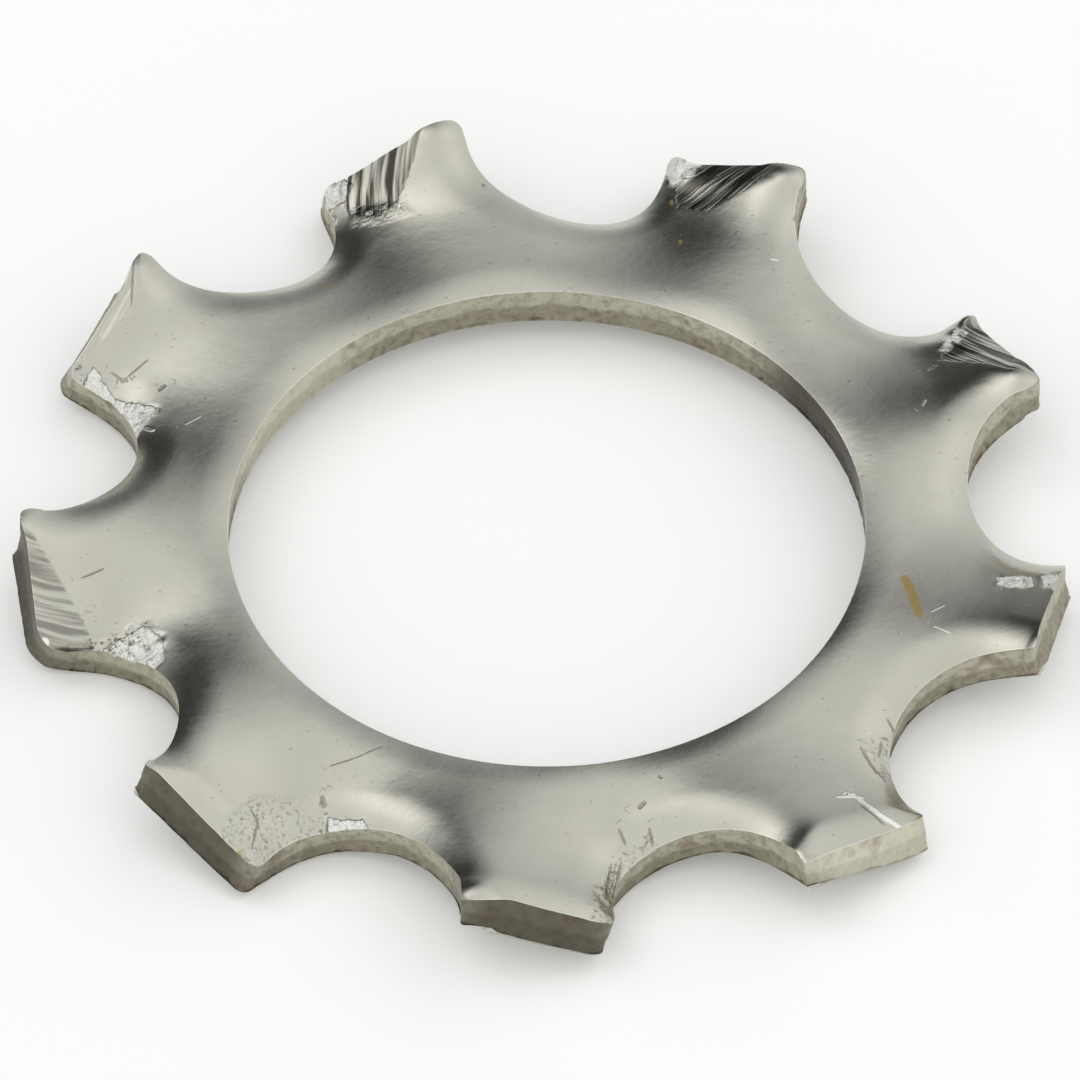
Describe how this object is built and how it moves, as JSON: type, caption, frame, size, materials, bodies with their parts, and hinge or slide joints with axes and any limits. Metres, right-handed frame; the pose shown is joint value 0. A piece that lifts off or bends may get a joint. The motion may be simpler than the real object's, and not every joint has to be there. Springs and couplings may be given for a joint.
{
  "type": "toothed lock washer",
  "caption": "Pressed sheet ring with a round bore and flat-ended outside teeth, each leaning about its own centre line so that its corners bite.",
  "frame": {"origin": "on the bore's axis, at half the thickness of the sheet", "axes": "+Z along the bore towards the side with the rounded edges; one tooth points along -Y"},
  "size_m": [0.0178, 0.0175, 0.0017],
  "materials": {
    "stainless_steel": "satin"
  },
  "bodies": {
    "root": {"lock_washer": "stainless_steel"}
  },
  "joints": []
}
